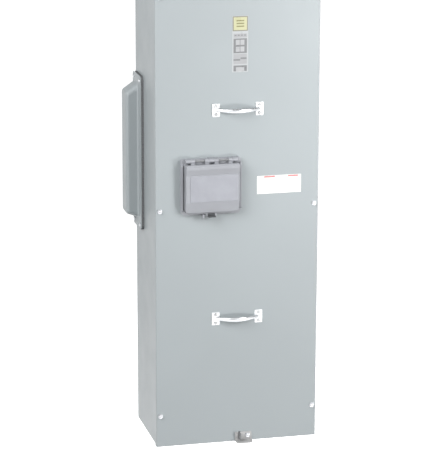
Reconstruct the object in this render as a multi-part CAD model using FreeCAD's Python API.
"""Automatic transfer switch in a tall wall-mounted rainproof enclosure, as separate pieces, in millimetres.

Everything is drawn with x across (0 on the centreline), y = 0 on the rear face that meets the wall and
the front towards -y, and z = 0 at the bottom edge of the front cover. On export every piece is lowered by
half the height, which puts the origin at the centre of the wall-mounting holes.
"""

import FreeCAD
import Part
import math
import os

V = FreeCAD.Vector

# ---------------------------------------------------------------- driving dimensions
COVER_WIDTH = 508.0
HEIGHT = 1500.0
DEPTH = 292.0  # wall face to the front face of the cover
SHEET = 2.0  # steel sheet of the box and the cover
BEND = 2.6  # outside radius of a sheet bend
FIT_GAP = 0.5  # air between the cover's lips and the box
COVER_LIP = 20.0
SEAL_GAP = 4.0  # between the box's front flange and the cover

ROOF_BOTTOM = HEIGHT - SHEET
COVER_TOP = HEIGHT - 14.0
BOX_HALF = COVER_WIDTH / 2 - SHEET - FIT_GAP
WALL_IN = BOX_HALF - SHEET
BOX_FLOOR = SHEET + FIT_GAP
COVER_FACE = -DEPTH
COVER_BACK = COVER_FACE + SHEET
BOX_FRONT = COVER_BACK + SEAL_GAP
FLANGE_BACK = BOX_FRONT + SHEET
RETURN_FLANGE = 26.0
MOUTH_HALF = BOX_HALF - RETURN_FLANGE

WALL_HOLE_X, WALL_HOLE_PITCH_Z, WALL_HOLE_R = 190.0, 1300.0, 5.5

# cover screws
SCREW_X = 241.0
SCREW_ROWS = (100.0, 750.0, 1400.0)
SCREW_R, SCREW_HOLE_R = 3.1, 3.7
NUT_BORE_R, NUT_R, NUT_T = 3.4, 7.0, 6.0

# pull handles on the cover
HANDLE_ROWS = {"upper_handle": 1053.0, "lower_handle": 402.0}
HANDLE_PLATE_X, HANDLE_PLATE_W, HANDLE_PLATE_H, HANDLE_PLATE_T = 67.5, 24.5, 41.0, 2.2
HANDLE_SCREW_DZ, HANDLE_SCREW_R = 13.0, 2.4
GRIP_HALF, GRIP_RISE = 66.0, 22.0

# hinged flap over the controller
FLAP_X = -85.0
FRAME_HALF, FRAME_BOTTOM, FRAME_TOP, FRAME_T = 93.0, 736.0, 909.0, 12.0
FRAME_CORNER_LOW, FRAME_CORNER_HIGH = 14.0, 6.0
CHEEK_W, CHEEK_OUT, CHEEK_BOTTOM, CHEEK_TOP = 4.5, 9.0, 752.0, 894.0
CUTOUT_X, CUTOUT_HALF, CUTOUT_BOTTOM, CUTOUT_TOP = -84.0, 76.0, 752.0, 886.0
LID_HALF, LID_BOTTOM, LID_TOP, LID_WALL = 85.0, 742.0, 896.0, 2.5
LID_REAR, LID_FRONT, LID_BROW = COVER_FACE - 13.0, COVER_FACE - 38.0, COVER_FACE - 44.0
LID_DRAFT, LID_CORNER_LOW, LID_CORNER_HIGH = 3.0, 20.0, 6.0
LID_HINGE_Y, LID_HINGE_Z, HINGE_R, HINGE_PIN_R = COVER_FACE - 19.0, 904.0, 6.0, 2.2
LUG_CENTRES, LUG_W, KNUCKLE_W = (-73.0, 0.0, 73.0), 16.0, 12.0
WINDOW_X0, WINDOW_X1, WINDOW_BOTTOM, WINDOW_TOP = -155.0, -8.0, 781.5, 862.0
LATCH_X0, LATCH_X1, LATCH_PIVOT_Y, LATCH_PIVOT_Z, LATCH_PIN_R = -98.5, -75.5, COVER_FACE - 22.0, 736.5, 1.5

# labels
NAMEPLATE = (-18.0, 31.0, 1166.5, 1336.5)
INFORMATION_LABEL = (61.0, 199.0, 787.5, 843.5)
LABEL_T = 0.5

# hasp at the bottom of the cover
HASP_X0, HASP_X1, HASP_Z0, HASP_Z1, HASP_T, HASP_LIP = -5.0, 48.0, 0.5, 30.0, 2.5, 25.0
TAB_X, TAB_T, TAB_REACH, TAB_Z0, TAB_Z1 = 9.0, 3.0, 32.0, 8.0, 29.0
EYE_R, EYE_Y, EYE_Z = 4.5, COVER_FACE - 16.0, 18.5
HASP_BOLT_X, HASP_BOLT_Z = 35.0, 18.5

# side hood over the load-bus stubs
HOOD_SEAL = 8.0
HOOD_FLANGE = (-117.0, -3.0, 648.0, 1130.0)
HOOD_BASE = (-82.0, -11.0, 679.0, 1102.0)
HOOD_TOP = (-86.0, -15.0, 694.0, 1077.0)
HOOD_OUT = 300.0
HOOD_SEAT = -BOX_HALF - HOOD_SEAL
HOOD_CORNER, HOOD_RIM, HOOD_FOOT = 14.0, 9.0, 5.0
SIDE_WINDOW = (-76.0, -20.0, 690.0, 1090.0)
HOOD_SCREWS = [(y, z) for y in (-104.0, -22.0) for z in (663.0, 1116.0)]

# equipment pan and bus
PAN_HALF, PAN_BOTTOM, PAN_TOP, PAN_T, PAN_FRONT = 228.0, 60.0, 1440.0, 2.5, -30.0
PAN_STUDS = [(x, z) for x in (-205.0, 205.0) for z in (80.0, 640.0, 1420.0)]
BUS_T, BUS_H, BUS_FRONT = 6.4, 50.0, -53.2
BUS_LEFT, BUS_RIGHT, NEUTRAL_RIGHT = -285.0, 185.0, 222.0
LOAD_BUS_Z = (885.0, 810.0, 735.0)
NEUTRAL_Z = 1045.0
BUS_END_HOLE_X, BUS_END_HOLE_R = -271.0, 6.5
BUS_POST_X = (-200.0, 172.0)
BOLT_R, BOLT_HOLE_R, BOLT_HEAD_R, BOLT_HEAD_T = 4.0, 4.4, 7.0, 5.3

# transfer switch
POLES = (-100.0, 0.0, 100.0)
MID_Z, SHAFT_DZ, SHAFT_Y, SHAFT_R = 760.0, 90.0, -150.0, 8.0
NORMAL_Z, EMERGENCY_Z = MID_Z + SHAFT_DZ, MID_Z - SHAFT_DZ
BASE_HALF, BASE_DZ, BASE_FRONT, BASE_BACK = 168.0, 250.0, -100.0, -84.0
SWING = 28.0  # degrees each shaft turns between its two positions
ARM_LENGTH, CONTACT_GAP = 86.0, 0.3
PLATE_X, PLATE_T = 158.0, 4.0
CRANK_R, CRANK_X = 30.0, 166.0
ROD_X0, ROD_X1 = 174.5, 181.0
PULL_R, PULL_X = 40.0, 186.0
TERMINAL_W, TERMINAL_T = 40.0, 6.0
LUG_Z0, LUG_Z1 = 425.0, 487.0  # distance of the line lugs from mid height

# solenoid
COIL_X, COIL_Y = 215.0, SHAFT_Y - PULL_R * (1 + math.cos(math.radians(SWING / 2))) / 2
CORE_HALF_X, CORE_HALF_Y, CORE_Z0, CORE_Z1, CORE_WALL = 25.0, 18.0, 690.0, 800.0, 6.0
PLUNGER_R = 8.0

# controller
CTRL = (-158.0, -12.0, 757.0, 881.0)
CTRL_FACE, CTRL_BACK = COVER_FACE + 3.0, -240.0
BUTTONS = {"test_button": -140.0, "reset_button": -114.0, "bypass_button": -88.0}
BUTTON_Z, BUTTON_R, BUTTON_TRAVEL = 776.0, 5.0, 2.0
SELECTOR_X, SELECTOR_Z, SELECTOR_R = -37.0, 785.0, 12.0
RAIL_ROWS = ((720.0, 738.0), (899.0, 917.0))
RAIL_BACK = FLANGE_BACK + 12.0


# ---------------------------------------------------------------- helpers
def block(x0, x1, y0, y1, z0, z1):
    return Part.makeBox(x1 - x0, y1 - y0, z1 - z0, V(x0, y0, z0))


def rod_x(x0, x1, y, z, r):
    return Part.makeCylinder(r, x1 - x0, V(x0, y, z), V(1, 0, 0))


def rod_y(x, y0, y1, z, r):
    return Part.makeCylinder(r, y1 - y0, V(x, y0, z), V(0, 1, 0))


def rod_z(x, y, z0, z1, r):
    return Part.makeCylinder(r, z1 - z0, V(x, y, z0), V(0, 0, 1))


def hex_y(x, y0, y1, z, r):
    """A hexagonal prism along y with corner radius r."""
    turns = [math.radians(60 * k) for k in range(7)]
    corners = [V(x + r * math.cos(t), y0, z + r * math.sin(t)) for t in turns]
    return Part.Face(Part.makePolygon(corners)).extrude(V(0, y1 - y0, 0))


def fused(shapes):
    return shapes[0].multiFuse(shapes[1:]).removeSplitter()


def rounded(shape, radius, wanted):
    """Fillets the straight edges for which wanted(start, end) is true."""
    open_edges = [e for e in shape.Edges if len(e.Vertexes) == 2]
    return shape.makeFillet(radius, [e for e in open_edges if wanted(*[v.Point for v in e.Vertexes])])


def along(axis):
    """Picks the edges that run along one axis, 0 for x, 1 for y, 2 for z."""
    return lambda a, b: all(abs(a[i] - b[i]) < 1e-6 for i in range(3) if i != axis)


def shrunk(box, d):
    """A (y0, y1, z0, z1) outline moved in by d on every side."""
    return (box[0] + d, box[1] - d, box[2] + d, box[3] - d)


def turned(shape, y, z, degrees):
    """The shape turned about the x-wise axis through (y, z)."""
    copy = shape.copy()
    copy.rotate(V(0, y, z), V(1, 0, 0), degrees)
    return copy


def bolt(x, z, face, reach, head_r=BOLT_HEAD_R, head_t=BOLT_HEAD_T, r=BOLT_R):
    """A hex bolt along y: its head stands in front of face and its shank ends at reach."""
    return fused([hex_y(x, face - head_t, face, z, head_r), rod_y(x, face, reach, z, r)])


# ---------------------------------------------------------------- box
def box_wrapper():
    outer = rounded(block(-BOX_HALF, BOX_HALF, BOX_FRONT, 0, BOX_FLOOR, ROOF_BOTTOM), BEND, along(2))
    inner = block(-WALL_IN, WALL_IN, FLANGE_BACK, -SHEET, BOX_FLOOR - 1, ROOF_BOTTOM + 1)
    shape = outer.cut(rounded(inner, BEND - SHEET, along(2)))
    shape = shape.cut(block(-MOUTH_HALF, MOUTH_HALF, BOX_FRONT - 1, FLANGE_BACK + 1, 0, HEIGHT))
    y0, y1, z0, z1 = SIDE_WINDOW
    shape = shape.cut(block(-BOX_HALF - 1, -WALL_IN + 1, y0, y1, z0, z1))
    for x in (-SCREW_X, SCREW_X):
        for z in SCREW_ROWS:
            shape = shape.cut(rod_y(x, BOX_FRONT - 1, FLANGE_BACK + 1, z, SCREW_HOLE_R + 1))
    for x in (-WALL_HOLE_X, WALL_HOLE_X):
        for dz in (-WALL_HOLE_PITCH_Z / 2, WALL_HOLE_PITCH_Z / 2):
            shape = shape.cut(rod_y(x, -SHEET - 1, 1, HEIGHT / 2 + dz, WALL_HOLE_R))
    for y, z in HOOD_SCREWS:
        shape = shape.cut(rod_x(-BOX_HALF - 1, -WALL_IN + 1, y, z, 3.0))
    return shape


def bottom_end_wall():
    turn_up = 15.0
    floor = block(-WALL_IN, WALL_IN, FLANGE_BACK, -SHEET, BOX_FLOOR, BOX_FLOOR + SHEET)
    front = block(-MOUTH_HALF, MOUTH_HALF, BOX_FRONT, FLANGE_BACK, BOX_FLOOR, TAB_Z1 + 5)
    rear = block(-WALL_IN, WALL_IN, -2 * SHEET, -SHEET, BOX_FLOOR, turn_up)
    sides = [block(s * WALL_IN - (SHEET if s > 0 else 0), s * WALL_IN + (SHEET if s < 0 else 0), FLANGE_BACK,
                   -SHEET, BOX_FLOOR, turn_up) for s in (-1, 1)]
    shape = fused([floor, front, rear] + sides)
    shape = rounded(shape, 1.0, lambda a, b: along(2)(a, b) and abs(abs(a.x) - WALL_IN) < 1e-6)
    large, small = (44, 31), (25, 17)
    for x, y, rings in ((-120, -150, large), (120, -150, large), (0, -90, small), (0, -205, small)):
        for r in rings:
            groove = rod_z(x, y, BOX_FLOOR - 1, BOX_FLOOR + 0.7, r + 0.8)
            shape = shape.cut(groove.cut(rod_z(x, y, BOX_FLOOR - 1, BOX_FLOOR + 0.7, r - 0.8)))
    return shape.cut(rod_y(HASP_BOLT_X, BOX_FRONT - 1, FLANGE_BACK + 1, HASP_BOLT_Z, SCREW_HOLE_R + 1))


def top_end_wall():
    """The roof with a drip edge round it and a header flange behind the cover's top edge."""
    half = COVER_WIDTH / 2 + 3.0
    drip_bottom = COVER_TOP + 3.0
    front = COVER_FACE - 8.0
    roof = block(-half, half, front, 0, drip_bottom, HEIGHT)
    roof = rounded(roof, BEND, lambda a, b: min(a.z, b.z) > HEIGHT - 1e-6 and min(a.y, b.y) < -1)
    hollow = block(-half + SHEET, half - SHEET, front + SHEET, 1, drip_bottom - 1, ROOF_BOTTOM)
    header = block(-MOUTH_HALF, MOUTH_HALF, BOX_FRONT, FLANGE_BACK, ROOF_BOTTOM - 38, ROOF_BOTTOM + 0.5)
    return fused([roof.cut(hollow), header])


def weather_gaskets():
    """The strip gasket round the cover's seat and the thick pad gasket under the side hood."""
    front, back = COVER_BACK + 0.2, BOX_FRONT
    edge, width = 227.0, 9.0
    z0, z1 = 12.0, ROOF_BOTTOM - 20
    strip = block(-edge, edge, front, back, z0, z1)
    strip = strip.cut(block(-edge + width, edge - width, front - 1, back + 1, z0 + width, z1 - width))
    clear = rod_y(HASP_BOLT_X, front - 1, back + 1, HASP_BOLT_Z, SCREW_R + 1)
    strip = strip.cut(clear).cut(block(TAB_X - 3, TAB_X + 3, front - 1, back + 1, TAB_Z0 - 1, TAB_Z1 + 1))
    y0, y1, z0, z1 = HOOD_BASE
    pad = rounded(block(-BOX_HALF - HOOD_SEAL, -BOX_HALF, *HOOD_FLANGE), HOOD_CORNER, along(0))
    pad = pad.cut(block(-BOX_HALF - HOOD_SEAL - 1, -BOX_HALF + 1, y0 + 3, y1 - 3, z0 + 3, z1 - 3))
    for y, z in HOOD_SCREWS:
        pad = pad.cut(rod_x(-BOX_HALF - HOOD_SEAL - 1, -BOX_HALF + 1, y, z, 2.6))
    return [strip, pad]


def clinch_nuts():
    spots = [(x, z) for x in (-SCREW_X, SCREW_X) for z in SCREW_ROWS] + [(HASP_BOLT_X, HASP_BOLT_Z)]
    nuts = []
    for x, z in spots:
        nut = hex_y(x, FLANGE_BACK, FLANGE_BACK + NUT_T, z, NUT_R)
        nuts.append(nut.cut(rod_y(x, FLANGE_BACK - 1, FLANGE_BACK + NUT_T + 1, z, NUT_BORE_R)))
    return nuts


def padlock_tab():
    tab = block(TAB_X - TAB_T / 2, TAB_X + TAB_T / 2, BOX_FRONT - TAB_REACH, BOX_FRONT, TAB_Z0, TAB_Z1)
    front = BOX_FRONT - TAB_REACH
    tab = rounded(tab, 6.0, lambda a, b: along(0)(a, b) and abs(a.y - front) < 1e-6)
    return tab.cut(rod_x(TAB_X - 5, TAB_X + 5, EYE_Y, EYE_Z, EYE_R))


# ---------------------------------------------------------------- side hood
def hood_tray(base, top, x_top, corner, rim):
    """The hood's drawn tray, from its foot to its crown, with round corners and a round rim."""
    x_foot = HOOD_SEAT - SHEET
    tray = Part.makeWedge(-top[1], x_top, top[2], base[2], -base[1],
                          -top[0], x_foot, top[3], base[3], -base[0])
    tray.rotate(V(0, 0, 0), V(0, 0, 1), -90)
    tray = rounded(tray, corner, lambda a, b: abs(a.x - b.x) > 1)
    crown = [e for e in tray.Edges if abs(e.BoundBox.XMin - x_top) < 1e-5 and e.BoundBox.XLength < 1e-5]
    return tray.makeFillet(rim, crown)


def side_hood():
    flange = rounded(block(HOOD_SEAT - SHEET, HOOD_SEAT, *HOOD_FLANGE), HOOD_CORNER, along(0))
    shape = fused([flange, hood_tray(HOOD_BASE, HOOD_TOP, -HOOD_OUT, HOOD_CORNER, HOOD_RIM)])
    face = HOOD_SEAT - SHEET
    y0, y1, z0, z1 = shrunk(HOOD_BASE, -0.1)
    near_foot = FreeCAD.BoundBox(face - 0.1, y0, z0, face + 0.1, y1, z1)
    shape = shape.makeFillet(HOOD_FOOT, [e for e in shape.Edges if near_foot.isInside(e.BoundBox)])
    base, top = shrunk(HOOD_BASE, SHEET), shrunk(HOOD_TOP, SHEET)
    hollow = hood_tray(base, top, SHEET - HOOD_OUT, HOOD_CORNER - SHEET, HOOD_RIM - SHEET)
    mouth = rounded(block(face, HOOD_SEAT + 1, *base), HOOD_CORNER - SHEET, along(0))
    shape = shape.cut(hollow).cut(mouth)
    for y, z in HOOD_SCREWS:
        shape = shape.cut(rod_x(HOOD_SEAT - SHEET - 1, HOOD_SEAT + 1, y, z, 2.9))
    return shape


def hood_screws():
    face = -BOX_HALF - HOOD_SEAL - SHEET
    screws = []
    for y, z in HOOD_SCREWS:
        head = rounded_head_x(face, y, z, 5.4, 3.6)
        screws.append(fused([head, rod_x(face, -WALL_IN + 6, y, z, 2.6)]))
    return screws


def rounded_head_x(face, y, z, r, t):
    """A low domed screw head standing out along -x from face."""
    head = rod_x(face - t, face, y, z, r)
    rim = [e for e in head.Edges if abs(e.BoundBox.XMax - face + t) < 1e-6]
    return head.makeFillet(t * 0.6, rim)


# ---------------------------------------------------------------- front cover
def cutout(y0, y1):
    """The hole through the cover and the flap frame that the controller is reached by."""
    hole = block(CUTOUT_X - CUTOUT_HALF, CUTOUT_X + CUTOUT_HALF, y0, y1, CUTOUT_BOTTOM, CUTOUT_TOP)
    return rounded(hole, 6.0, along(1))


def front_cover():
    half = COVER_WIDTH / 2
    outer = block(-half, half, COVER_FACE, COVER_BACK + COVER_LIP, 0, COVER_TOP)
    outer = rounded(outer, BEND, lambda a, b: max(a.y, b.y) < COVER_BACK and min(a.z, b.z) < COVER_TOP - 1)
    inner = block(-half + SHEET, half - SHEET, COVER_BACK, COVER_BACK + COVER_LIP + 1, SHEET, COVER_TOP + 1)
    shape = outer.cut(inner)
    through = (COVER_FACE - 1, COVER_BACK + 1)
    shape = shape.cut(cutout(*through))
    for x in (-SCREW_X, SCREW_X):
        for z in SCREW_ROWS:
            shape = shape.cut(rod_y(x, *through, z, SCREW_HOLE_R))
    for z in HANDLE_ROWS.values():
        for x, dz in handle_screw_places():
            shape = shape.cut(rod_y(x, *through, z + dz, HANDLE_SCREW_R + 0.3))
    shape = shape.cut(block(TAB_X - TAB_T, TAB_X + TAB_T, *through, TAB_Z0 - 2, TAB_Z1 + 2))
    return shape.cut(rod_y(HASP_BOLT_X, *through, HASP_BOLT_Z, SCREW_HOLE_R))


def cover_screw(x, z, seat):
    washer = rod_y(x, seat - 1.5, seat, z, 7.6)
    head = hex_y(x, seat - 6.3, seat - 1.5, z, 6.4)
    slot = block(x - 5, x + 5, seat - 7, seat - 4.9, z - 0.7, z + 0.7)
    shank = rod_y(x, seat, FLANGE_BACK + NUT_T + 4, z, SCREW_R)
    return fused([washer, head.cut(slot), shank])


def cover_screws():
    screws = [cover_screw(x, z, COVER_FACE) for x in (-SCREW_X, SCREW_X) for z in SCREW_ROWS]
    return screws + [cover_screw(HASP_BOLT_X, HASP_BOLT_Z, COVER_FACE - HASP_T)]


def handle_screw_places():
    return [(x, dz) for x in (-HANDLE_PLATE_X, HANDLE_PLATE_X) for dz in (-HANDLE_SCREW_DZ, HANDLE_SCREW_DZ)]


def ellipse_wire(centre, half_z, half_n, normal):
    """An upright ellipse: half_z tall, half_n deep, standing across the direction normal in the xy plane."""
    curve = Part.Ellipse(V(0, 0, 0), half_z, half_n)
    wire = Part.Wire([curve.toShape()])
    side = V(normal.y, -normal.x, 0)
    # the ellipse's own x goes up, its own y goes across the grip
    rows = (0, side.x, normal.x, centre.x, 0, side.y, normal.y, centre.y, 1, 0, 0, centre.z, 0, 0, 0, 1)
    wire.Placement = FreeCAD.Placement(FreeCAD.Matrix(*rows))
    return wire


def pull_handle(z):
    """Two screwed end plates and a grip that bows forward and is fullest in the middle."""
    plates = []
    for s in (-1, 1):
        x = s * HANDLE_PLATE_X
        front = COVER_FACE - HANDLE_PLATE_T
        plate = block(x - HANDLE_PLATE_W / 2, x + HANDLE_PLATE_W / 2, front, COVER_FACE,
                      z - HANDLE_PLATE_H / 2, z + HANDLE_PLATE_H / 2)
        plate = rounded(plate, 2.5, along(1))
        for dz in (-HANDLE_SCREW_DZ, HANDLE_SCREW_DZ):
            plate = plate.cut(rod_y(x, front - 1, COVER_FACE + 1, z + dz, HANDLE_SCREW_R + 0.2))
        plates.append(plate)
    sections = []
    steps = 12
    for k in range(steps + 1):
        u = -1 + 2 * k / steps
        x = GRIP_HALF * math.sin(u * math.pi / 2)
        bow = 1 - (x / GRIP_HALF) ** 2
        y = COVER_FACE - 2.3 - GRIP_RISE * bow
        slope = V(1, 2 * GRIP_RISE * x / GRIP_HALF ** 2, 0)
        slope.normalize()
        sections.append(ellipse_wire(V(x, y, z), 3.4 + 3.8 * bow, 1.9 + 2.8 * bow, slope))
    grip = Part.makeLoft(sections, True, False)
    grip = grip.cut(block(-200, 200, COVER_FACE - 0.1, COVER_FACE + 60, z - 50, z + 50))
    return fused(plates + [grip])


def handle_screws():
    """Pan-head screws through the handle plates, each with its nut behind the cover."""
    solids = []
    face = COVER_FACE - HANDLE_PLATE_T
    for z in HANDLE_ROWS.values():
        for x, dz in handle_screw_places():
            head = rod_y(x, face - 2.6, face, z + dz, 4.6)
            head = head.makeFillet(1.6, [e for e in head.Edges if e.BoundBox.YMax < face - 2.5])
            head = head.cut(block(x - 5, x + 5, face - 3, face - 1.6, z + dz - 0.6, z + dz + 0.6))
            shank = rod_y(x, face, COVER_BACK + 6, z + dz, HANDLE_SCREW_R)
            solids.append(fused([head, shank]))
            nut = hex_y(x, COVER_BACK, COVER_BACK + 4, z + dz, 4.6)
            solids.append(nut.cut(rod_y(x, COVER_BACK - 1, COVER_BACK + 5, z + dz, HANDLE_SCREW_R)))
    return solids


def label(box):
    x0, x1, z0, z1 = box
    return block(x0, x1, COVER_FACE - LABEL_T, COVER_FACE, z0, z1)


def hasp_bracket():
    """An angle bracket on the cover's bottom edge: a slotted plate for the padlock tab and a forward lip."""
    front = COVER_FACE - HASP_T
    plate = rounded(block(HASP_X0, HASP_X1, front, COVER_FACE, HASP_Z0, HASP_Z1), 5.0,
                    lambda a, b: along(1)(a, b) and a.z > HASP_Z1 - 1)
    lip = rounded(block(HASP_X0, HASP_X1, front - HASP_LIP, front, HASP_Z0, HASP_Z0 + HASP_T), 15.0,
                  lambda a, b: along(2)(a, b) and a.y < front - 1)
    slot = block(TAB_X - TAB_T, TAB_X + TAB_T, front - 1, COVER_FACE + 1, TAB_Z0 - 2, TAB_Z1 - 1 + 2)
    shape = fused([plate, lip]).cut(slot)
    return shape.cut(rod_y(HASP_BOLT_X, front - 1, COVER_FACE + 1, HASP_BOLT_Z, SCREW_HOLE_R))


# ---------------------------------------------------------------- flap over the controller
def flap_frame():
    front = COVER_FACE - FRAME_T
    x0, x1 = FLAP_X - FRAME_HALF, FLAP_X + FRAME_HALF
    shape = block(x0, x1, front, COVER_FACE, FRAME_BOTTOM, FRAME_TOP)
    shape = rounded(shape, FRAME_CORNER_LOW, lambda a, b: along(1)(a, b) and a.z < FRAME_BOTTOM + 1)
    shape = rounded(shape, FRAME_CORNER_HIGH, lambda a, b: along(1)(a, b) and a.z > FRAME_TOP - 1)
    shape = shape.cut(cutout(front - 1, COVER_FACE + 1))
    pieces = [shape]
    for c in LUG_CENTRES:
        x = FLAP_X + c
        web = block(x - LUG_W / 2, x + LUG_W / 2, LID_HINGE_Y, COVER_FACE,
                    LID_HINGE_Z - HINGE_R, LID_HINGE_Z + HINGE_R)
        pieces += [web, rod_x(x - LUG_W / 2, x + LUG_W / 2, LID_HINGE_Y, LID_HINGE_Z, HINGE_R)]
    # a cheek along each side of the lid
    for inner, outer in ((x0 + CHEEK_W, x0), (x1 - CHEEK_W, x1)):
        cheek = block(min(inner, outer), max(inner, outer), front - CHEEK_OUT, front + 1, CHEEK_BOTTOM, CHEEK_TOP)
        pieces.append(rounded(cheek, 5.0, lambda a, b: along(0)(a, b) and a.y < front - CHEEK_OUT + 1))
    # padlock eye beside the latch
    eye_x = FLAP_X - 27
    eye = block(eye_x - 2, eye_x + 2, COVER_FACE - 30, front + 1, FRAME_BOTTOM - 8, FRAME_BOTTOM + 4)
    pieces.append(rounded(eye, 4.0, lambda a, b: along(0)(a, b) and a.y < COVER_FACE - 29))
    shape = fused(pieces)
    shape = shape.cut(rod_x(eye_x - 4, eye_x + 4, COVER_FACE - 23, FRAME_BOTTOM - 2, 3.0))
    return shape.cut(rod_x(x0 - 1, x1 + 1, LID_HINGE_Y, LID_HINGE_Z, HINGE_PIN_R))


def hinge_pin():
    reach = LUG_CENTRES[-1] + LUG_W / 2 + 1.5
    return rod_x(FLAP_X - reach, FLAP_X + reach, LID_HINGE_Y, LID_HINGE_Z, HINGE_PIN_R)


def lid_profile():
    """The lid's side view: a brow, a set-back front, and a chin that slopes in to the bottom edge."""
    points = [(LID_REAR, LID_TOP - 3), (LID_BROW + 5, LID_TOP), (LID_BROW, LID_TOP - 5),
              (LID_BROW, LID_TOP - 13), (LID_FRONT, LID_TOP - 32), (LID_FRONT, LID_BOTTOM + 38),
              (LID_FRONT + 8, LID_BOTTOM + 6),
              (LID_FRONT + 13, LID_BOTTOM), (LID_REAR, LID_BOTTOM)]
    corners = [V(0, y, z) for y, z in points]
    return Part.Face(Part.makePolygon(corners + corners[:1]))


def lid_form(profile, inset, rear):
    """The profile swept across and trimmed to the front view, whose sides draw in towards the front."""
    swept = profile.extrude(V(4 * LID_HALF, 0, 0))
    swept.translate(V(FLAP_X - 2 * LID_HALF, 0, 0))
    low, high = LID_BOTTOM + inset, LID_TOP + 1 - inset
    wide, narrow = LID_HALF - inset, LID_HALF - LID_DRAFT - inset
    trim = Part.makeWedge(FLAP_X - narrow, LID_BROW - 1, low, low, FLAP_X - wide,
                          FLAP_X + narrow, rear, high, high, FLAP_X + wide)
    trim = rounded(trim, LID_CORNER_LOW - inset, lambda a, b: abs(a.y - b.y) > 1 and max(a.z, b.z) < low + 1)
    trim = rounded(trim, LID_CORNER_HIGH - inset,
                   lambda a, b: abs(a.y - b.y) > 1 and min(a.z, b.z) > high - 1)
    return swept.common(trim)


def flap_lid():
    profile = lid_profile()
    hollow = profile.makeOffset2D(-LID_WALL)
    deeper = hollow.copy()
    deeper.translate(V(0, LID_WALL + 2, 0))
    shape = lid_form(profile, 0, LID_REAR)
    for inner in (hollow, deeper):
        shape = shape.cut(lid_form(inner, LID_WALL, LID_REAR + 3))
    knuckles = []
    for a, b in zip(LUG_CENTRES, LUG_CENTRES[1:]):
        x0, x1 = FLAP_X + a + LUG_W / 2 + 0.5, FLAP_X + b - LUG_W / 2 - 0.5
        for k0, k1 in ((x0, x0 + KNUCKLE_W), (x1 - KNUCKLE_W, x1)):
            web = block(k0, k1, LID_HINGE_Y - 4, LID_HINGE_Y + 4, LID_TOP - 4, LID_HINGE_Z)
            knuckles += [web, rod_x(k0, k1, LID_HINGE_Y, LID_HINGE_Z, HINGE_R - 0.4)]
    shape = fused([shape] + knuckles + latch_ears())
    shape = shape.cut(rod_x(-400, 400, LID_HINGE_Y, LID_HINGE_Z, HINGE_PIN_R + 0.06))
    shape = shape.cut(rod_x(-400, 400, LATCH_PIVOT_Y, LATCH_PIVOT_Z, LATCH_PIN_R + 0.06))
    opening = block(WINDOW_X0 + 4, WINDOW_X1 - 4, LID_FRONT - 1, LID_FRONT + LID_WALL + 1, WINDOW_BOTTOM + 4,
                    WINDOW_TOP - 4)
    return shape.cut(rounded(opening, 3.0, along(1)))


def flap_window():
    """A stepped pane: a rim that lies on the lid's face and a plug that fills the opening."""
    x0, x1 = WINDOW_X0, WINDOW_X1
    rim = rounded(block(x0, x1, LID_FRONT - 1.6, LID_FRONT, WINDOW_BOTTOM, WINDOW_TOP), 3.0, along(1))
    edge = [e for e in rim.Edges if abs(e.BoundBox.YMax - LID_FRONT + 1.6) < 1e-6]
    rim = rim.makeFillet(0.9, edge)
    plug = block(x0 + 4, x1 - 4, LID_FRONT, LID_FRONT + LID_WALL, WINDOW_BOTTOM + 4, WINDOW_TOP - 4)
    return fused([rim, rounded(plug, 3.0, along(1))])


def latch_ears():
    """Two ears under the lid's bottom edge that carry the latch's pin."""
    ears = []
    for x0, x1 in ((LATCH_X0 - 4.5, LATCH_X0 - 0.5), (LATCH_X1 + 0.5, LATCH_X1 + 4.5)):
        ear = block(x0, x1, LATCH_PIVOT_Y - 4, LATCH_PIVOT_Y + 4, LATCH_PIVOT_Z - 4, LID_BOTTOM + 1)
        ears.append(rounded(ear, 2.5, lambda a, b: along(0)(a, b) and a.z < LATCH_PIVOT_Z - 3))
    return ears


def flap_latch():
    """A thumb catch on a pin under the lid's bottom edge: lifting its front drops its nose."""
    x0, x1, y, z = LATCH_X0, LATCH_X1, LATCH_PIVOT_Y, LATCH_PIVOT_Z
    body = block(x0, x1, y - 4, y + 4, z - 4, z + 4)
    body = rounded(body, 1.5, lambda a, b: along(0)(a, b) and a.z > z + 3)
    thumb = block(x0, x1, y - 16, y - 3, z - 4, z - 1)
    thumb = rounded(thumb, 1.2, lambda a, b: along(0)(a, b) and a.y < y - 15)
    nose = block(x0 + 3, x1 - 3, y + 3, COVER_FACE - FRAME_T - 0.8, z - 4, z - 1.5)
    return fused([body, thumb, nose, rod_x(x0 - 4.5, x1 + 4.5, y, z, LATCH_PIN_R)])


# ---------------------------------------------------------------- pan, bus and wiring
def equipment_pan():
    pan = block(-PAN_HALF, PAN_HALF, PAN_FRONT, PAN_FRONT + PAN_T, PAN_BOTTOM, PAN_TOP)
    pan = rounded(pan, 8.0, along(1))
    for x, z in PAN_STUDS + switch_feet_places() + solenoid_feet_places():
        pan = pan.cut(rod_y(x, PAN_FRONT - 1, PAN_FRONT + PAN_T + 1, z, BOLT_HOLE_R))
    return pan


def switch_feet_places():
    return [(x, MID_Z + dz) for x in (-150.0, 150.0) for dz in (-235.0, 235.0)]


def solenoid_feet_places():
    return [(COIL_X, 705.0), (COIL_X, 785.0)]


def terminal_bolt_places():
    return [(x, MID_Z + dz) for x in POLES for dz in (-215.0, 215.0)]


def spacer(x, z, y0, y1, r):
    return rod_y(x, y0, y1, z, r).cut(rod_y(x, y0 - 1, y1 + 1, z, BOLT_HOLE_R))


def standoffs():
    pan = [spacer(x, z, PAN_FRONT + PAN_T, -SHEET, 9.0) for x, z in PAN_STUDS]
    feet = [spacer(x, z, BASE_BACK, PAN_FRONT, 9.0) for x, z in switch_feet_places()]
    return pan + feet


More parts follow.
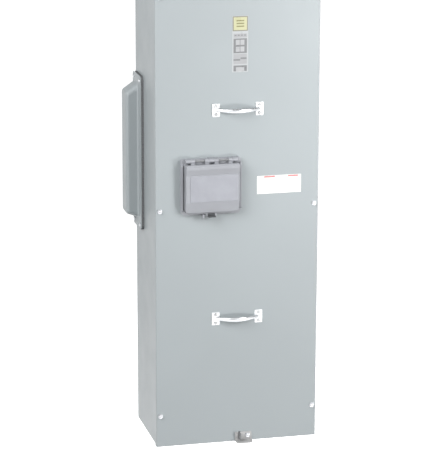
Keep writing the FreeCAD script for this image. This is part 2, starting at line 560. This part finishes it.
def interior_bolts():
    """Hex bolts: pan to box, switch to pan, bus bars to their supports, solenoid bracket to pan."""
    bolts = [bolt(x, z, PAN_FRONT, -SHEET - 2) for x, z in PAN_STUDS]
    bolts += [bolt(x, z, BASE_FRONT, PAN_FRONT + PAN_T + 8) for x, z in switch_feet_places()]
    bolts += [bolt(x, z, BUS_FRONT, BUS_FRONT + 16) for x in BUS_POST_X for z in LOAD_BUS_Z + (NEUTRAL_Z,)]
    bolts += [bolt(x, z, PAN_FRONT - 3, PAN_FRONT + PAN_T + 6) for x, z in solenoid_feet_places()]
    bolts += [bolt(x, z, BASE_FRONT - TERMINAL_T, BASE_FRONT + 12) for x, z in terminal_bolt_places()]
    return bolts


def bus_bar(right, z):
    bar = block(BUS_LEFT, right, BUS_FRONT, BUS_FRONT + BUS_T, z - BUS_H / 2, z + BUS_H / 2)
    bar = rounded(bar, 1.2, along(0))
    bar = bar.cut(rod_y(BUS_END_HOLE_X, BUS_FRONT - 1, BUS_FRONT + BUS_T + 1, z, BUS_END_HOLE_R))
    for x in BUS_POST_X:
        bar = bar.cut(rod_y(x, BUS_FRONT - 1, BUS_FRONT + BUS_T + 1, z, BOLT_R))
    return bar


def bus_supports():
    """Insulating uprights behind the bars and cross pieces behind the line terminals."""
    back = BUS_FRONT + BUS_T
    solids = []
    for x, half in zip(BUS_POST_X, (12.0, 10.0)):
        post = block(x - half, x + half, back, PAN_FRONT, LOAD_BUS_Z[-1] - 30, NEUTRAL_Z + 30)
        for z in LOAD_BUS_Z + (NEUTRAL_Z,):
            post = post.cut(rod_y(x, back - 1, back + 10, z, BOLT_R))
        solids.append(post)
    for s in (-1, 1):
        z = MID_Z + s * 405
        beam = block(-132, 132, BASE_FRONT, PAN_FRONT, z - 12, z + 12)
        for x in (-50.0, 50.0):
            beam = beam.cut(block(x - 18, x + 18, BASE_FRONT - 1, PAN_FRONT - 14, z - 13, z + 13))
        solids.append(beam)
    return solids


def lug(x, z0, z1, y, mouth_up, width=34.0, bore=11.0, depth=44.0):
    """A mechanical cable lug: an aluminium block with a cable bore and a hex-socket clamping screw."""
    body = rounded(block(x - width / 2, x + width / 2, y - depth, y, z0, z1), 4.0,
                   lambda a, b: along(0)(a, b) and a.y < y - 1)
    end = (z0 + 14, z1 + 1) if mouth_up else (z0 - 1, z1 - 14)
    body = body.cut(rod_z(x, y - depth / 2, end[0], end[1], bore))
    screw_z = (z0 + z1) / 2 + (6 if mouth_up else -6)
    screw = rod_y(x, y - depth - 3, y - depth / 2 - bore * 0.6, screw_z, 7.0)
    socket = hex_y(x, y - depth - 4, y - depth + 4, screw_z, 4.2)
    return fused([body, screw]).cut(socket)


def line_lugs():
    seat = BASE_FRONT - TERMINAL_T
    up = [lug(x, MID_Z + LUG_Z0, MID_Z + LUG_Z1, seat, True) for x in POLES]
    down = [lug(x, MID_Z - LUG_Z1, MID_Z - LUG_Z0, seat, False) for x in POLES]
    return up + down


def neutral_lugs():
    return [lug(x, NEUTRAL_Z - 22, NEUTRAL_Z + 22, BUS_FRONT, True, 28.0, 9.0, 34.0) for x in (138.0, 204.0)]


def ground_bar():
    x0, x1, z = 40.0, 200.0, 150.0
    bar = block(x0, x1, PAN_FRONT - 16, PAN_FRONT - 6, z - 8, z + 8)
    feet = [block(x - 8, x + 8, PAN_FRONT - 6, PAN_FRONT, z - 8, z + 8) for x in (x0 + 10, x1 - 10)]
    shape = fused([bar] + feet)
    count = 8
    for k in range(count):
        x = x0 + 24 + k * (x1 - x0 - 48) / (count - 1)
        shape = shape.cut(rod_z(x, PAN_FRONT - 11, z - 9, z + 9, 2.6))
        shape = fused([shape, rod_y(x, PAN_FRONT - 20, PAN_FRONT - 15, z, 4.0)])
        shape = shape.cut(block(x - 4, x + 4, PAN_FRONT - 21, PAN_FRONT - 18.6, z - 0.6, z + 0.6))
    return shape


def terminal_strip():
    x0, count, pitch, z0, z1 = 118.0, 9, 10.0, 400.0, 436.0
    shape = block(x0, x0 + count * pitch, PAN_FRONT - 22, PAN_FRONT, z0, z1)
    for k in range(count + 1):
        x = x0 + k * pitch
        shape = fused([shape, block(x - 0.8, x + 0.8, PAN_FRONT - 30, PAN_FRONT - 21, z0, z1)])
    for k in range(count):
        x = x0 + (k + 0.5) * pitch
        for z in (z0 + 9, z1 - 9):
            shape = fused([shape, rod_y(x, PAN_FRONT - 25, PAN_FRONT - 21, z, 3.4)])
            shape = shape.cut(block(x - 4, x + 4, PAN_FRONT - 26, PAN_FRONT - 24, z - 0.5, z + 0.5))
    return shape


def control_transformer():
    """A laminated core and its two-winding coil."""
    x0, x1, z0, z1 = 146.0, 214.0, 1118.0, 1176.0
    core = block(x0, x1, PAN_FRONT - 36, PAN_FRONT, z0, z1)
    window = block(x0 + 12, x1 - 12, PAN_FRONT - 37, PAN_FRONT + 1, z0 + 12, z1 - 12)
    leg = block((x0 + x1) / 2 - 9, (x0 + x1) / 2 + 9, PAN_FRONT - 36, PAN_FRONT, z0 + 11, z1 - 11)
    core = fused([core.cut(window), leg])
    coil = block(x0 + 12.5, x1 - 12.5, PAN_FRONT - 50, PAN_FRONT - 0.5, z0 + 12.5, z1 - 12.5)
    coil = rounded(coil, 5.0, lambda a, b: along(2)(a, b) and a.y < PAN_FRONT - 49)
    return [core, coil.cut(core)]


def wiring_duct():
    """A slotted trough for the control wires with its snap-on lid."""
    x0, x1, z0, z1, front = -224.0, -196.0, 190.0, 620.0, PAN_FRONT - 38
    trough = block(x0, x1, front, PAN_FRONT, z0, z1)
    trough = trough.cut(block(x0 + 1.8, x1 - 1.8, front - 1, PAN_FRONT - 1.8, z0 - 1, z1 + 1))
    slot_w, pitch = 6.0, 12.5
    starts = [z0 + 10 + k * pitch for k in range(int((z1 - z0 - 20) / pitch))]
    slots = [block(x0 - 1, x1 + 1, front + 8, PAN_FRONT - 10, z, z + slot_w) for z in starts]
    trough = trough.cut(Part.makeCompound(slots))
    lid = block(x0, x1, front - 2, front, z0, z1)
    return [trough, lid]


# ---------------------------------------------------------------- transfer switch
def switch_base():
    base = block(-BASE_HALF, BASE_HALF, BASE_FRONT, BASE_BACK, MID_Z - BASE_DZ, MID_Z + BASE_DZ)
    base = rounded(base, 8.0, along(1))
    for x, z in switch_feet_places() + terminal_bolt_places():
        base = base.cut(rod_y(x, BASE_FRONT - 1, BASE_BACK + 1, z, BOLT_R))
    for x, z in zip(POLES, LOAD_BUS_Z):
        base = base.cut(rod_y(x, BASE_FRONT - 1, BASE_BACK + 1, z, 9.0))
    return base


def load_straps():
    """Each pole's load conductor on the base, and the post that carries it back to its bus bar."""
    solids = []
    for x, z in zip(POLES, LOAD_BUS_Z):
        strap = block(x - 18, x + 18, BASE_FRONT - 5, BASE_FRONT, MID_Z - 138, MID_Z + 138)
        post = rod_y(x, BASE_FRONT - 0.5, BUS_FRONT, z, 9.0)
        solids.append(fused([rounded(strap, 3.0, along(1)), post]))
    return solids


def terminal(x, s):
    """A line terminal bar with its fixed contact: s is 1 above mid height and -1 below it."""
    def span(a, b):
        return (MID_Z + min(s * a, s * b), MID_Z + max(s * a, s * b))

    face = BASE_FRONT - TERMINAL_T
    bar = block(x - TERMINAL_W / 2, x + TERMINAL_W / 2, face, BASE_FRONT, *span(158, LUG_Z1))
    contact_face = SHAFT_Y + 12 + CONTACT_GAP
    horn = block(x - 14, x + 14, contact_face, face + 1, *span(158, 180))
    shape = fused([bar, horn])
    return shape.cut(rod_y(x, face - 1, BASE_FRONT + 1, MID_Z + s * 215, BOLT_R))


def side_plates():
    plates = []
    for s in (-1, 1):
        x0, x1 = sorted((s * PLATE_X, s * (PLATE_X + PLATE_T)))
        web = rounded(block(x0, x1, -190, BASE_FRONT, MID_Z - 150, MID_Z + 150), 14.0,
                      lambda a, b: along(0)(a, b) and a.y < -189)
        f0, f1 = sorted((s * PLATE_X, s * BASE_HALF))
        foot = block(f0, f1, BASE_FRONT - 3, BASE_FRONT, MID_Z - 150, MID_Z + 150)
        plate = fused([web, foot])
        for z in (NORMAL_Z, EMERGENCY_Z):
            plate = plate.cut(rod_x(x0 - 1, x1 + 1, SHAFT_Y, z, 12.0))
        plates.append(plate)
    return plates


def shaft_bushes():
    bushes = []
    for s in (-1, 1):
        for z in (NORMAL_Z, EMERGENCY_Z):
            a, b = sorted((s * (PLATE_X - 2), s * (PLATE_X + PLATE_T + 2)))
            c, d = sorted((s * (PLATE_X - 4), s * PLATE_X))
            body = fused([rod_x(a, b, SHAFT_Y, z, 12.0), rod_x(c, d, SHAFT_Y, z, 15.0)])
            bushes.append(body.cut(rod_x(min(a, c) - 1, max(b, d) + 1, SHAFT_Y, z, SHAFT_R + 0.05)))
    return bushes


def phase_barriers():
    sheets = []
    for x in (-50.0, 50.0):
        sheet = rounded(block(x - 1.5, x + 1.5, -206, BASE_FRONT, MID_Z - 235, MID_Z + 235), 12.0,
                        lambda a, b: along(0)(a, b) and a.y < -205)
        for z in (NORMAL_Z, EMERGENCY_Z):
            sheet = sheet.cut(rod_x(x - 3, x + 3, SHAFT_Y, z, 17.0))
        sheets.append(sheet)
    return sheets


def arc_chutes():
    """Insulating hoods over the contact tips, open top and bottom and standing on the base."""
    solids = []
    for s in (-1, 1):
        z0, z1 = sorted((MID_Z + s * 188, MID_Z + s * 240))
        for x in POLES:
            chute = block(x - 30, x + 30, -196, BASE_FRONT, z0, z1)
            chute = rounded(chute, 4.0, lambda a, b: along(2)(a, b) and a.y < -195)
            chute = chute.cut(block(x - 27, x + 27, -193, BASE_FRONT + 1, z0 - 1, z1 + 1))
            solids.append(chute)
    return solids


def crank(x0, x1, z, radius, pin_r, pin_end):
    """A crank cheek at angle zero, pointing forward, with its pin."""
    hub = rod_x(x0, x1, SHAFT_Y, z, 13.0)
    eye = rod_x(x0, x1, SHAFT_Y - radius, z, 9.0)
    web = block(x0, x1, SHAFT_Y - radius, SHAFT_Y, z - 8, z + 8)
    pin = rod_x(x1 - 0.5, pin_end, SHAFT_Y - radius, z, pin_r)
    return turned(fused([hub, eye, web, pin]), SHAFT_Y, z, -SWING / 2)


def normal_shaft():
    """The main operating shaft with the interlock crank and the solenoid crank."""
    shaft = rod_x(-197, PULL_X + 6, SHAFT_Y, NORMAL_Z, SHAFT_R)
    link = crank(CRANK_X, CRANK_X + 6, NORMAL_Z, CRANK_R, 4.0, ROD_X1 + 2.5)
    pull = crank(PULL_X, PULL_X + 6, NORMAL_Z, PULL_R, 4.0, COIL_X + 9)
    return fused([shaft, link, pull])


def emergency_shaft():
    shaft = rod_x(-172, CRANK_X + 6, SHAFT_Y, EMERGENCY_Z, SHAFT_R)
    return fused([shaft, crank(CRANK_X, CRANK_X + 6, EMERGENCY_Z, CRANK_R, 4.0, ROD_X1 + 2.5)])


def contact_arm(x, z, s):
    """A moving contact in its closed place: s is 1 for an arm that points up, -1 for one that points down."""
    def span(a, b):
        return (z + min(s * a, s * b), z + max(s * a, s * b))

    hub = rod_x(x - 17, x + 17, SHAFT_Y, z, 15.0)
    arm = block(x - 11, x + 11, SHAFT_Y - 6, SHAFT_Y + 6, *span(0, ARM_LENGTH))
    pad = block(x - 9, x + 9, SHAFT_Y + 5, SHAFT_Y + 12, *span(ARM_LENGTH - 16, ARM_LENGTH))
    return fused([hub, arm, pad]).cut(rod_x(x - 20, x + 20, SHAFT_Y, z, SHAFT_R))


def contact_arms(z, s, degrees):
    return [turned(contact_arm(x, z, s), SHAFT_Y, z, degrees) for x in POLES]


def transfer_handle():
    """The manual lever on the shaft's left end, raised 45 degrees from straight forward."""
    hub = rod_x(-195, -179, SHAFT_Y, NORMAL_Z, 14.0)
    lever = block(-192, -184, SHAFT_Y - 64, SHAFT_Y, NORMAL_Z - 9, NORMAL_Z + 9)
    grip = rod_y(-188, SHAFT_Y - 110, SHAFT_Y - 56, NORMAL_Z, 10.0)
    end = [e for e in grip.Edges if abs(e.BoundBox.YMax - (SHAFT_Y - 110)) < 1e-6]
    shape = fused([hub, lever, grip.makeFillet(6.0, end)]).cut(rod_x(-200, -170, SHAFT_Y, NORMAL_Z, SHAFT_R))
    return turned(shape, SHAFT_Y, NORMAL_Z, -45)


def interlock_rod():
    """The rod that joins the two cranks, so that one source opens as the other closes."""
    lean = math.radians(SWING / 2)
    y = SHAFT_Y - CRANK_R * math.cos(lean)
    rise = CRANK_R * math.sin(lean)
    low, high = EMERGENCY_Z + rise, NORMAL_Z + rise
    shape = fused([block(ROD_X0, ROD_X1, y - 6, y + 6, low, high), rod_x(ROD_X0, ROD_X1, y, low, 9.0),
                   rod_x(ROD_X0, ROD_X1, y, high, 9.0)])
    for z in (low, high):
        shape = shape.cut(rod_x(ROD_X0 - 1, ROD_X1 + 1, y, z, 4.08))
    return shape


def solenoid_frame():
    """A rectangular core with the plunger's hole in its top."""
    w = CORE_WALL
    x0, x1, y0, y1 = COIL_X - CORE_HALF_X, COIL_X + CORE_HALF_X, COIL_Y - CORE_HALF_Y, COIL_Y + CORE_HALF_Y
    outer = block(x0, x1, y0, y1, CORE_Z0, CORE_Z1)
    inner = block(x0 + w, x1 - w, y0 - 1, y1 + 1, CORE_Z0 + w, CORE_Z1 - w)
    return outer.cut(inner).cut(rod_z(COIL_X, COIL_Y, CORE_Z1 - w - 1, CORE_Z1 + 1, PLUNGER_R + 0.5))


def solenoid_coil():
    z0, z1 = CORE_Z0 + CORE_WALL + 1, CORE_Z1 - CORE_WALL - 1
    r = CORE_HALF_Y - 0.5
    coil = fused([rod_z(COIL_X, COIL_Y, z0, z1, r - 2.5), rod_z(COIL_X, COIL_Y, z0, z0 + 3, r),
                  rod_z(COIL_X, COIL_Y, z1 - 3, z1, r)])
    return coil.cut(rod_z(COIL_X, COIL_Y, z0 - 1, z1 + 1, PLUNGER_R + 0.4))


def solenoid_bracket():
    seat = COIL_Y + CORE_HALF_Y
    x1, t, z0, z1 = COIL_X + CORE_HALF_X + 3, 3.0, CORE_Z0 - 4, CORE_Z1 + 4
    plate = block(COIL_X - CORE_HALF_X, x1, seat, seat + t, z0, z1)
    leg = block(x1 - t, x1, seat, PAN_FRONT, z0, z1)
    foot = block(COIL_X - 13, x1, PAN_FRONT - t, PAN_FRONT, z0, z1)
    shape = fused([plate, leg, foot])
    for x, z in solenoid_feet_places():
        shape = shape.cut(rod_y(x, PAN_FRONT - t - 1, PAN_FRONT + 1, z, BOLT_R))
    return shape


def solenoid_plunger():
    """The plunger and its slotted eye, which lifts the solenoid crank's pin."""
    pin_z = NORMAL_Z + PULL_R * math.sin(math.radians(SWING / 2))
    body = rod_z(COIL_X, COIL_Y, CORE_Z0 + 36, pin_z - 14, PLUNGER_R)
    eye = rounded(block(COIL_X - 5, COIL_X + 5, COIL_Y - 9, COIL_Y + 9, pin_z - 18, pin_z + 10), 6.0,
                  lambda a, b: along(0)(a, b) and a.z > pin_z + 9)
    half, r = 1.4, 4.25
    slot = fused([rod_x(COIL_X - 6, COIL_X + 6, COIL_Y - half, pin_z, r),
                  rod_x(COIL_X - 6, COIL_X + 6, COIL_Y + half, pin_z, r),
                  block(COIL_X - 6, COIL_X + 6, COIL_Y - half, COIL_Y + half, pin_z - r, pin_z + r)])
    return fused([body, eye]).cut(slot)


# ---------------------------------------------------------------- controller
def controller_housing():
    x0, x1, z0, z1 = CTRL
    wall = 2.5
    shell = rounded(block(x0, x1, CTRL_FACE + 2, CTRL_BACK, z0, z1), 5.0, along(1))
    shell = shell.cut(block(x0 + wall, x1 - wall, CTRL_FACE + 1, CTRL_BACK - wall, z0 + wall, z1 - wall))
    ears = []
    for x in (x0 + 24, x1 - 24):
        for z_in, z_out in ((z0 + 1, RAIL_ROWS[0][0] + 3), (z1 - 1, RAIL_ROWS[1][1] - 3)):
            low, high = sorted((z_in, z_out))
            ears.append(block(x - 9, x + 9, RAIL_BACK, RAIL_BACK + 3, low, high))
    return fused([shell] + ears)


def cross_rails():
    """Two channels across the box mouth that carry the controller."""
    rails = []
    for z0, z1 in RAIL_ROWS:
        rail = block(-WALL_IN + 0.5, WALL_IN - 0.5, FLANGE_BACK, RAIL_BACK, z0, z1)
        rail = rail.cut(block(-WALL_IN, WALL_IN, FLANGE_BACK - 1, RAIL_BACK - 2, z0 + 2, z1 - 2))
        rails.append(rail)
    return rails


def controller_board():
    x0, x1, z0, z1 = CTRL
    return block(x0 + 8, x1 - 8, CTRL_FACE + 16, CTRL_FACE + 17.6, z0 + 8, z1 - 8)


def controller_face():
    x0, x1, z0, z1 = CTRL
    face = rounded(block(x0, x1, CTRL_FACE, CTRL_FACE + 2, z0, z1), 5.0, along(1))
    for x in BUTTONS.values():
        face = face.cut(rod_y(x, CTRL_FACE - 1, CTRL_FACE + 3, BUTTON_Z, BUTTON_R + 0.3))
    return face.cut(rod_y(SELECTOR_X, CTRL_FACE - 1, CTRL_FACE + 3, SELECTOR_Z, 4.08))


def display_window():
    pane = block(CTRL[0] + 10, CTRL[0] + 88, CTRL_FACE - 1.2, CTRL_FACE, CTRL[3] - 52, CTRL[3] - 12)
    return rounded(pane, 2.0, along(1))


def push_button(x):
    cap = rod_y(x, CTRL_FACE - 4, CTRL_FACE + 8, BUTTON_Z, BUTTON_R)
    rim = [e for e in cap.Edges if abs(e.BoundBox.YMax - (CTRL_FACE - 4)) < 1e-6]
    collar = rod_y(x, CTRL_FACE + 2.2, CTRL_FACE + 4, BUTTON_Z, BUTTON_R + 1.6)
    return fused([cap.makeFillet(1.2, rim), collar])


def mode_selector():
    y0, y1 = CTRL_FACE - 15, CTRL_FACE - 0.4
    skirt = rod_y(SELECTOR_X, y1 - 3, y1, SELECTOR_Z, SELECTOR_R)
    grip = block(SELECTOR_X - 3.5, SELECTOR_X + 3.5, y0, y1 - 2, SELECTOR_Z - 10, SELECTOR_Z + 10)
    grip = rounded(grip, 3.0, along(1))
    stem = rod_y(SELECTOR_X, y1 - 1, CTRL_FACE + 9, SELECTOR_Z, 4.0)
    return fused([skirt, grip, stem])


# ---------------------------------------------------------------- assembly and export
def all_parts():
    parts = {
        "box_wrapper": box_wrapper(),
        "top_end_wall": top_end_wall(),
        "bottom_end_wall": bottom_end_wall(),
        "weather_gaskets": weather_gaskets(),
        "clinch_nuts": clinch_nuts(),
        "padlock_tab": padlock_tab(),
        "side_hood": side_hood(),
        "hood_screws": hood_screws(),
        "front_cover": front_cover(),
        "cover_screws": cover_screws(),
        "handle_screws": handle_screws(),
        "nameplate": label(NAMEPLATE),
        "information_label": label(INFORMATION_LABEL),
        "hasp_bracket": hasp_bracket(),
        "flap_frame": flap_frame(),
        "flap_hinge_pin": hinge_pin(),
        "flap_lid": flap_lid(),
        "flap_window": flap_window(),
        "flap_latch": flap_latch(),
        "equipment_pan": equipment_pan(),
        "standoffs": standoffs(),
        "interior_bolts": interior_bolts(),
        "load_bus_bars": [bus_bar(BUS_RIGHT, z) for z in LOAD_BUS_Z],
        "neutral_bus": bus_bar(NEUTRAL_RIGHT, NEUTRAL_Z),
        "bus_supports": bus_supports(),
        "line_lugs": line_lugs(),
        "neutral_lugs": neutral_lugs(),
        "ground_bar": ground_bar(),
        "terminal_strip": terminal_strip(),
        "control_transformer": control_transformer(),
        "wiring_duct": wiring_duct(),
        "switch_base": switch_base(),
        "load_straps": load_straps(),
        "normal_terminals": [terminal(x, 1) for x in POLES],
        "emergency_terminals": [terminal(x, -1) for x in POLES],
        "side_plates": side_plates(),
        "shaft_bushes": shaft_bushes(),
        "phase_barriers": phase_barriers(),
        "arc_chutes": arc_chutes(),
        "normal_shaft": normal_shaft(),
        "normal_contact_arms": contact_arms(NORMAL_Z, 1, 0),
        "transfer_handle": transfer_handle(),
        "emergency_shaft": emergency_shaft(),
        "emergency_contact_arms": contact_arms(EMERGENCY_Z, -1, -SWING),
        "interlock_rod": interlock_rod(),
        "solenoid_frame": solenoid_frame(),
        "solenoid_coil": solenoid_coil(),
        "solenoid_bracket": solenoid_bracket(),
        "solenoid_plunger": solenoid_plunger(),
        "controller_housing": controller_housing(),
        "controller_board": controller_board(),
        "controller_face": controller_face(),
        "display_window": display_window(),
        "cross_rails": cross_rails(),
        "mode_selector": mode_selector(),
    }
    parts.update({name: pull_handle(z) for name, z in HANDLE_ROWS.items()})
    parts.update({name: push_button(x) for name, x in BUTTONS.items()})
    return parts


def main():
    os.makedirs("parts", exist_ok=True)
    for name, shape in sorted(all_parts().items()):
        pieces = shape if isinstance(shape, list) else [shape]
        solids = [s for piece in pieces for s in piece.Solids]
        whole = Part.makeCompound(solids) if len(solids) > 1 else solids[0]
        whole.translate(V(0, 0, -HEIGHT / 2))
        whole.exportStep("parts/%s.step" % name)
        print(name, len(solids), "solids")


main()
